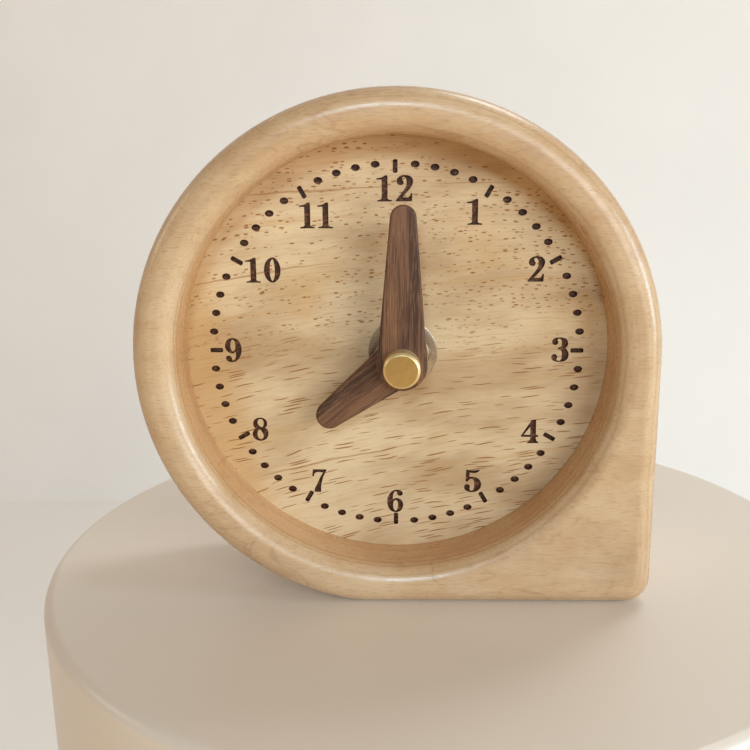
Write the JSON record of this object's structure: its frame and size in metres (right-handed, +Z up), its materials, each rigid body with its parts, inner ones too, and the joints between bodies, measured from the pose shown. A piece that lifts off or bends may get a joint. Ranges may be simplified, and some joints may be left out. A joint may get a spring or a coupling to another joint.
{
  "type": "desk clock",
  "caption": "Wooden desk clock: a round block with one square corner, a recessed dial with burnt numerals, dark wooden hands and a battery movement behind.",
  "frame": {"origin": "on the surface the clock stands on, under the middle of its width and depth", "axes": "+Z up, +Y from the dial to the back, +X to the right as seen from the front"},
  "size_m": [0.11, 0.044, 0.1092],
  "materials": {
    "case_wood": "light close-grained hardwood, sanded and oiled",
    "dial_wood": "pale wood with short brown pores; the marks are burnt dark brown",
    "hand_wood": "dark brown hardwood with fine grain along the hand",
    "polished_brass": "polished",
    "brass": "turned",
    "steel": "bright zinc plating",
    "rubber": "matt",
    "white_plastic": "moulded acetal",
    "black_plastic": "fine moulded texture",
    "magnet": "sintered ferrite",
    "soft_iron": "stamped",
    "bobbin_plastic": "moulded",
    "copper": "enamelled wire",
    "board": "lacquered laminate",
    "resin": "glossy drop of resin",
    "nickel": "bright nickel plating",
    "cell_filling": "pressed powder",
    "cell_sleeve": "shrunk plastic film"
  },
  "bodies": {
    "root": {"clock_case": "case_wood", "dial_panel": "dial_wood", "fixing_washer": "steel", "fixing_nut": "steel", "movement_gasket": "rubber", "threaded_bushing": "brass", "movement_case": "black_plastic", "bridge_plate": "white_plastic", "movement_cover": "black_plastic", "stator_plate": "soft_iron", "coil_core": "soft_iron", "coil_bobbin": "bobbin_plastic", "coil_winding": "copper", "circuit_board": "board", "driver_chip": "resin", "quartz_crystal": "nickel", "positive_contact": "nickel", "negative_contact": "nickel"},
    "minute_hand": {"minute_hand": "hand_wood", "cap_nut": "polished_brass", "minute_arbor": "steel", "cannon_pinion": "white_plastic", "clutch_spring": "steel", "clutch_collar": "brass"},
    "hour_hand": {"hour_hand": "hand_wood", "hour_hand_bush": "brass", "hour_wheel": "white_plastic"},
    "minute_wheel": {"minute_wheel": "white_plastic"},
    "setting_knob": {"setting_knob": "black_plastic", "setting_stem": "white_plastic"},
    "rotor": {"rotor_magnet": "magnet", "rotor_pinion": "white_plastic"},
    "fifth_wheel": {"fifth_wheel": "white_plastic"},
    "fourth_wheel": {"fourth_wheel": "white_plastic"},
    "third_wheel": {"third_wheel": "white_plastic"},
    "centre_wheel": {"centre_wheel": "white_plastic"},
    "battery": {"battery_can": "nickel", "battery_filling": "cell_filling", "battery_sleeve": "cell_sleeve"}
  },
  "joints": [
    {"name": "minute_hand_turn", "type": "hinge", "parent": "root", "child": "minute_hand", "pos_m": [0.00155, 0, 0.05382], "axis": [0, 1, 0], "continuous": true},
    {"name": "hour_hand_turn", "type": "hinge", "parent": "root", "child": "hour_hand", "pos_m": [0.00155, 0, 0.05382], "axis": [0, 1, 0], "continuous": true},
    {"name": "minute_wheel_turn", "type": "hinge", "parent": "root", "child": "minute_wheel", "pos_m": [-0.00676, 0, 0.05862], "axis": [0, 1, 0], "continuous": true},
    {"name": "setting_knob_turn", "type": "hinge", "parent": "root", "child": "setting_knob", "pos_m": [-0.00864, 0, 0.06926], "axis": [0, 1, 0], "continuous": true},
    {"name": "rotor_turn", "type": "hinge", "parent": "root", "child": "rotor", "pos_m": [0.01585, 0, 0.05379], "axis": [0, 1, 0], "continuous": true},
    {"name": "fifth_wheel_turn", "type": "hinge", "parent": "root", "child": "fifth_wheel", "pos_m": [0.01305, 0, 0.05864], "axis": [0, 1, 0], "continuous": true},
    {"name": "fourth_wheel_turn", "type": "hinge", "parent": "root", "child": "fourth_wheel", "pos_m": [0.00919, 0, 0.06324], "axis": [0, 1, 0], "continuous": true},
    {"name": "third_wheel_turn", "type": "hinge", "parent": "root", "child": "third_wheel", "pos_m": [0.0028, 0, 0.06091], "axis": [0, 1, 0], "continuous": true},
    {"name": "centre_wheel_turn", "type": "hinge", "parent": "root", "child": "centre_wheel", "pos_m": [0.00155, 0, 0.05382], "axis": [0, 1, 0], "continuous": true},
    {"name": "battery_slide", "type": "slide", "parent": "root", "child": "battery", "axis": [0, 1, 0], "range_m": [0, 0.03]}
  ],
  "couplings": [
    {"joint": "hour_hand_turn", "follows": "minute_hand_turn", "ratio": 0.083333},
    {"joint": "minute_wheel_turn", "follows": "minute_hand_turn", "ratio": -0.33333},
    {"joint": "setting_knob_turn", "follows": "minute_hand_turn", "ratio": 0.66667},
    {"joint": "fifth_wheel_turn", "follows": "rotor_turn", "ratio": -0.16667},
    {"joint": "fourth_wheel_turn", "follows": "rotor_turn", "ratio": 0.033333},
    {"joint": "third_wheel_turn", "follows": "rotor_turn", "ratio": -0.0044444},
    {"joint": "centre_wheel_turn", "follows": "rotor_turn", "ratio": 0.00055556}
  ]
}
